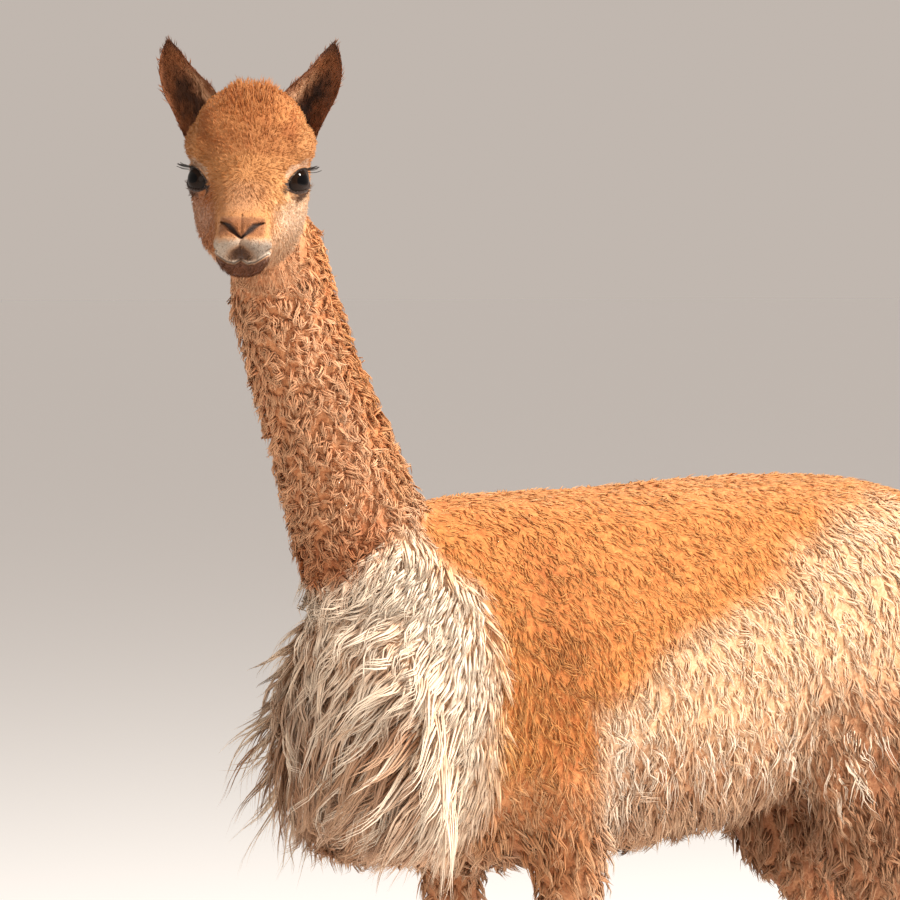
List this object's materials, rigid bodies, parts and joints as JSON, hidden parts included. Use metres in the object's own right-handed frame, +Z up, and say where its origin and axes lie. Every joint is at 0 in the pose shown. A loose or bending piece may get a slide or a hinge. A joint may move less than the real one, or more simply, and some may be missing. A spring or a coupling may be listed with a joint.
{
  "type": "vicuna, still life-size standing figure",
  "caption": "Standing vicuna with its head turned to its left: long woolly neck, fleecy body, long white breast wool, slender two-toed legs and a short hanging tail.",
  "frame": {"origin": "on the floor, under the middle of the whole animal's bounding box", "axes": "+Z up, the chest faces -Y, +X is the animal's left side"},
  "size_m": [0.3394, 1.161, 1.3238],
  "materials": {
    "fawn_coat": "soft dense cinnamon wool, paler on the flank and belly",
    "white_wool": "long silky cream wool",
    "ear": "short dark brown hair, paler inside",
    "eye": "wet, glossy, near black",
    "nail": "worn dark horn"
  },
  "bodies": {
    "root": {"bib": "white_wool", "ear_left": "ear", "ear_right": "ear", "eye_left": "eye", "eye_right": "eye", "foreleg_left_cannon": "fawn_coat", "foreleg_left_foot": "fawn_coat", "foreleg_left_upper": "fawn_coat", "foreleg_right_cannon": "fawn_coat", "foreleg_right_foot": "fawn_coat", "foreleg_right_upper": "fawn_coat", "head": "fawn_coat", "hindleg_left_cannon": "fawn_coat", "hindleg_left_foot": "fawn_coat", "hindleg_left_upper": "fawn_coat", "hindleg_right_cannon": "fawn_coat", "hindleg_right_foot": "fawn_coat", "hindleg_right_upper": "fawn_coat", "lower_jaw": "white_wool", "nail_foreleg_left_inner": "nail", "nail_foreleg_left_outer": "nail", "nail_foreleg_right_inner": "nail", "nail_foreleg_right_outer": "nail", "nail_hindleg_left_inner": "nail", "nail_hindleg_left_outer": "nail", "nail_hindleg_right_inner": "nail", "nail_hindleg_right_outer": "nail", "neck": "fawn_coat", "tail": "fawn_coat", "trunk": "fawn_coat"}
  },
  "joints": []
}
